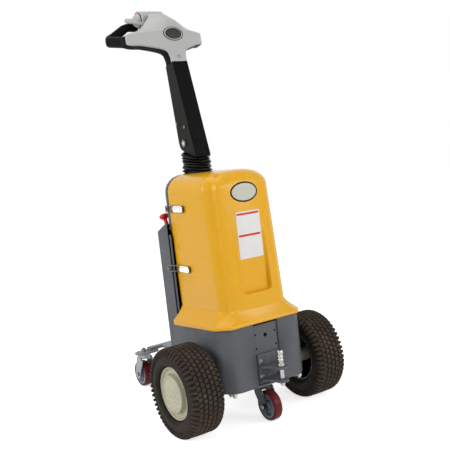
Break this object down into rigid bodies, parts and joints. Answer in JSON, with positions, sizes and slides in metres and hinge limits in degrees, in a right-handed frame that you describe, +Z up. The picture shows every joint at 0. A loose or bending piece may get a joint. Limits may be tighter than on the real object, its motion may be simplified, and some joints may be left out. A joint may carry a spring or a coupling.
{
  "type": "electric_tugger",
  "caption": "Walk-behind electric tugger with a moulded battery hood on a folded steel base, turf drive wheels, swivel casters, a pin hitch and a tilting tiller with a looped control head",
  "frame": {"origin": "centre of the bounding box on the floor", "axes": "+X across towards the machine's left as seen by the operator behind it, -Y forward towards the hitch, +Z up"},
  "size_m": [0.586, 0.813, 1.358],
  "materials": {
    "steel_grey": "satin",
    "hood_yellow": "satin",
    "black_rubber": "matte",
    "black_plastic": "matte",
    "arm_black": "satin",
    "head_silver": "satin",
    "red_plastic": "satin",
    "tyre_rubber": "matte",
    "rim_cream": "satin",
    "zinc": "satin",
    "cast_grey": "matte",
    "red_tread": "satin",
    "hub_grey": "satin"
  },
  "bodies": {
    "chassis": {"base_shell": "steel_grey", "hitch_plate": "steel_grey", "hitch_bracket": "steel_grey", "hitch_bolts": "zinc", "hitch_pin": "zinc", "base_bolts": "zinc", "column_box": "steel_grey", "back_plate": "steel_grey", "hood": "hood_yellow", "hood_seal": "black_rubber", "latch_levers": "zinc", "latch_bails": "zinc", "latch_keepers": "zinc", "battery_block": "black_plastic", "drive_unit": "cast_grey", "axle_tubes": "steel_grey", "tail_bar": "steel_grey", "tail_cross_bar": "steel_grey", "rear_caster_plates": "steel_grey", "front_caster_plate": "steel_grey", "disconnect_knob": "red_plastic", "tiller_post": "arm_black", "bellows": "black_rubber"},
    "tiller": {"tiller_arm": "arm_black", "arm_fasteners": "zinc", "head_shell": "head_silver", "head_lower": "black_plastic", "grip_left": "black_plastic", "grip_right": "black_plastic", "throttle": "head_silver", "safety_button": "red_plastic"},
    "left_wheel": {"left_tyre": "tyre_rubber", "left_rim": "rim_cream", "left_shaft": "zinc"},
    "right_wheel": {"right_tyre": "tyre_rubber", "right_rim": "rim_cream", "right_shaft": "zinc"},
    "front_swivel": {"front_fork": "arm_black"},
    "front_wheel": {"front_tread": "red_tread", "front_hub": "hub_grey"},
    "rear_left_swivel": {"rear_left_fork": "zinc"},
    "rear_left_wheel": {"rear_left_tread": "red_tread", "rear_left_hub": "hub_grey"},
    "rear_right_swivel": {"rear_right_fork": "zinc"},
    "rear_right_wheel": {"rear_right_tread": "red_tread", "rear_right_hub": "hub_grey"}
  },
  "joints": [
    {"name": "tiller_tilt", "type": "hinge", "parent": "chassis", "child": "tiller", "pos_m": [0, -0.0215, 0.885], "axis": [-1, 0, 0], "range_deg": [0, 55], "stiffness_Nm_per_rad": 60, "springref_deg": -20.05, "deforming": ["bellows"]},
    {"name": "left_wheel_spin", "type": "hinge", "parent": "chassis", "child": "left_wheel", "pos_m": [-0.237, -0.2105, 0.14], "axis": [1, 0, 0], "continuous": true},
    {"name": "right_wheel_spin", "type": "hinge", "parent": "chassis", "child": "right_wheel", "pos_m": [0.237, -0.2105, 0.14], "axis": [1, 0, 0], "continuous": true},
    {"name": "front_caster_swivel", "type": "hinge", "parent": "chassis", "child": "front_swivel", "pos_m": [0, -0.2825, 0.1], "axis": [0, 0, 1], "continuous": true},
    {"name": "front_caster_roll", "type": "hinge", "parent": "front_swivel", "child": "front_wheel", "pos_m": [0, -0.3065, 0.048], "axis": [1, 0, 0], "continuous": true},
    {"name": "rear_left_caster_swivel", "type": "hinge", "parent": "chassis", "child": "rear_left_swivel", "pos_m": [-0.098, 0.3345, 0.11], "axis": [0, 0, 1], "continuous": true},
    {"name": "rear_left_caster_roll", "type": "hinge", "parent": "rear_left_swivel", "child": "rear_left_wheel", "pos_m": [-0.098, 0.3585, 0.048], "axis": [1, 0, 0], "continuous": true},
    {"name": "rear_right_caster_swivel", "type": "hinge", "parent": "chassis", "child": "rear_right_swivel", "pos_m": [0.098, 0.3345, 0.11], "axis": [0, 0, 1], "continuous": true},
    {"name": "rear_right_caster_roll", "type": "hinge", "parent": "rear_right_swivel", "child": "rear_right_wheel", "pos_m": [0.098, 0.3585, 0.048], "axis": [1, 0, 0], "continuous": true}
  ]
}
